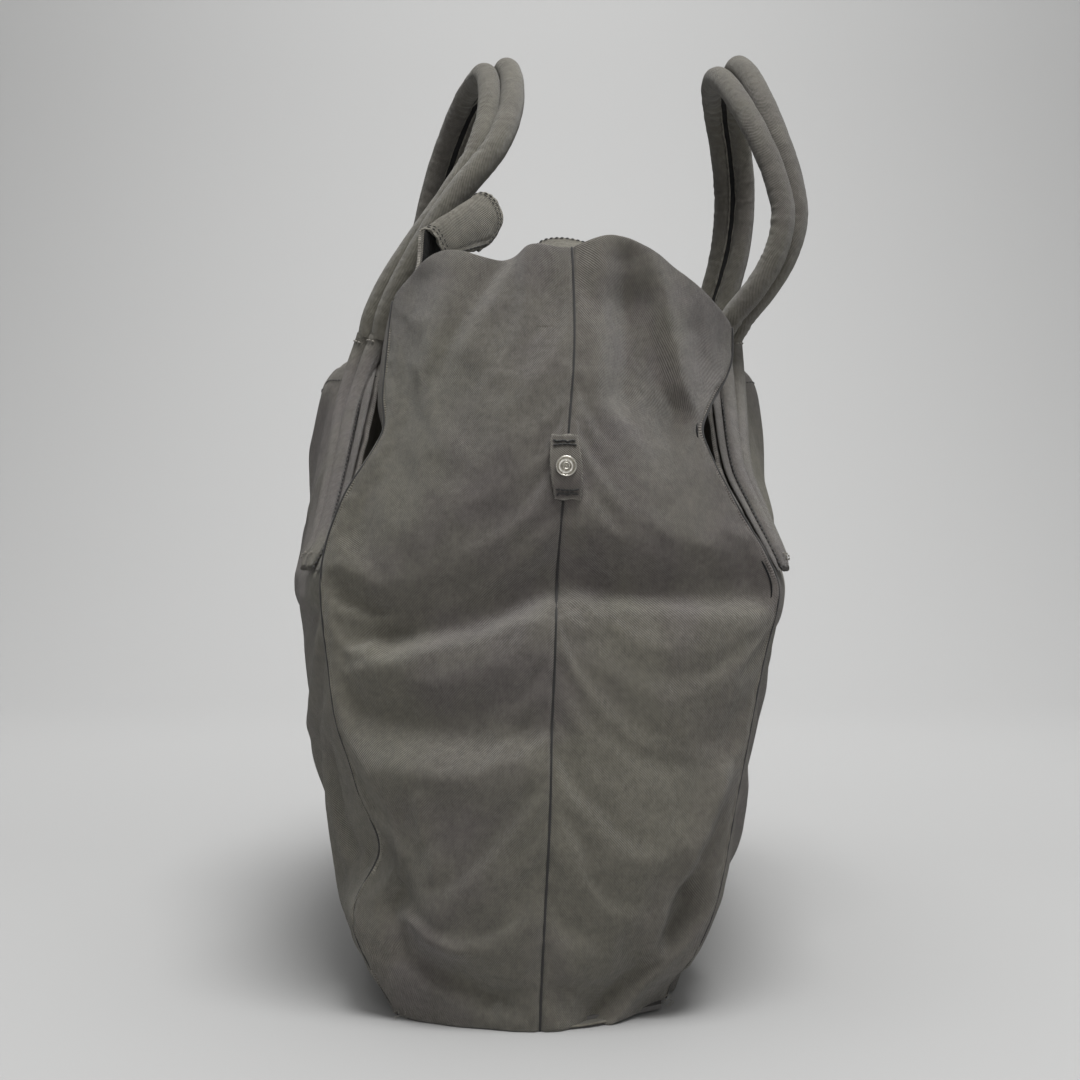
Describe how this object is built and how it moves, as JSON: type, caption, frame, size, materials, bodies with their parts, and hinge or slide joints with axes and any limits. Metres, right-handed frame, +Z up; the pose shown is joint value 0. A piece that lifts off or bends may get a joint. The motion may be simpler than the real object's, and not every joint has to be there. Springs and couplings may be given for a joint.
{
  "type": "tote bag",
  "caption": "Soft twill tote bag with two padded roll handles, open outer pockets, a pair of snap closure tabs near each end of the mouth and a press stud tab on each end.",
  "frame": {"origin": "on the floor, under the middle of the bag", "axes": "+Z up; +X along the bag's length, towards the end with the press stud nearest the viewer; +Y from the front face to the back face"},
  "size_m": [0.4776, 0.3256, 0.5753],
  "materials": {
    "twill": "garment-washed cotton twill with a soft crinkle",
    "rolled_twill": "the same twill, sewn round a soft core and rubbed paler",
    "core_cord": "soft foam cord",
    "lining": "matt thin woven lining",
    "base_board": "flexible plastic sheet",
    "nickel": "nickel plated, slightly worn"
  },
  "bodies": {
    "root": {"base_panel": "twill", "front_body_panel": "twill", "back_body_panel": "twill", "right_end_front_half": "twill", "right_end_back_half": "twill", "left_end_front_half": "twill", "left_end_back_half": "twill", "front_pocket_panel": "twill", "back_pocket_panel": "twill", "front_facing": "twill", "back_facing": "twill", "right_end_facing": "twill", "left_end_facing": "twill", "right_stud_tab": "twill", "left_stud_tab": "twill", "front_right_strap": "rolled_twill", "front_left_strap": "rolled_twill", "back_right_strap": "rolled_twill", "back_left_strap": "rolled_twill", "front_lining": "lining", "back_lining": "lining", "right_end_lining": "lining", "left_end_lining": "lining", "base_lining": "lining", "base_board": "base_board", "right_stud": "nickel", "left_stud": "nickel", "right_stud_backing": "nickel", "left_stud_backing": "nickel"},
    "front_handle": {"front_handle_outer_roll": "rolled_twill", "front_handle_inner_roll": "rolled_twill", "front_handle_outer_core": "core_cord", "front_handle_inner_core": "core_cord"},
    "back_handle": {"back_handle_outer_roll": "rolled_twill", "back_handle_inner_roll": "rolled_twill", "back_handle_outer_core": "core_cord", "back_handle_inner_core": "core_cord"},
    "tab_front_right": {"front_right_tab": "twill", "right_snap_stud": "nickel", "right_snap_backing": "nickel"},
    "tab_front_left": {"front_left_tab": "twill", "left_snap_stud": "nickel", "left_snap_backing": "nickel"},
    "tab_back_right": {"back_right_tab": "twill", "right_snap_socket": "nickel", "right_snap_cap": "nickel"},
    "tab_back_left": {"back_left_tab": "twill", "left_snap_socket": "nickel", "left_snap_cap": "nickel"}
  },
  "joints": [
    {"name": "front_handle_swing", "type": "hinge", "parent": "root", "child": "front_handle", "pos_m": [0, -0.101, 0.374], "axis": [1, 0, 0], "range_deg": [-3, 92]},
    {"name": "back_handle_swing", "type": "hinge", "parent": "root", "child": "back_handle", "pos_m": [0, 0.113, 0.374], "axis": [-1, 0, 0], "range_deg": [-20, 70]},
    {"name": "front_right_tab_fold", "type": "hinge", "parent": "root", "child": "tab_front_right", "pos_m": [0.142, -0.0775, 0.382], "axis": [1, 0, 0], "range_deg": [-12, 45]},
    {"name": "back_right_tab_fold", "type": "hinge", "parent": "root", "child": "tab_back_right", "pos_m": [0.142, 0.1, 0.382], "axis": [-1, 0, 0], "range_deg": [-20, 60]},
    {"name": "front_left_tab_fold", "type": "hinge", "parent": "root", "child": "tab_front_left", "pos_m": [-0.142, -0.0775, 0.382], "axis": [1, 0, 0], "range_deg": [-12, 45]},
    {"name": "back_left_tab_fold", "type": "hinge", "parent": "root", "child": "tab_back_left", "pos_m": [-0.142, 0.1, 0.382], "axis": [-1, 0, 0], "range_deg": [-20, 60]}
  ]
}
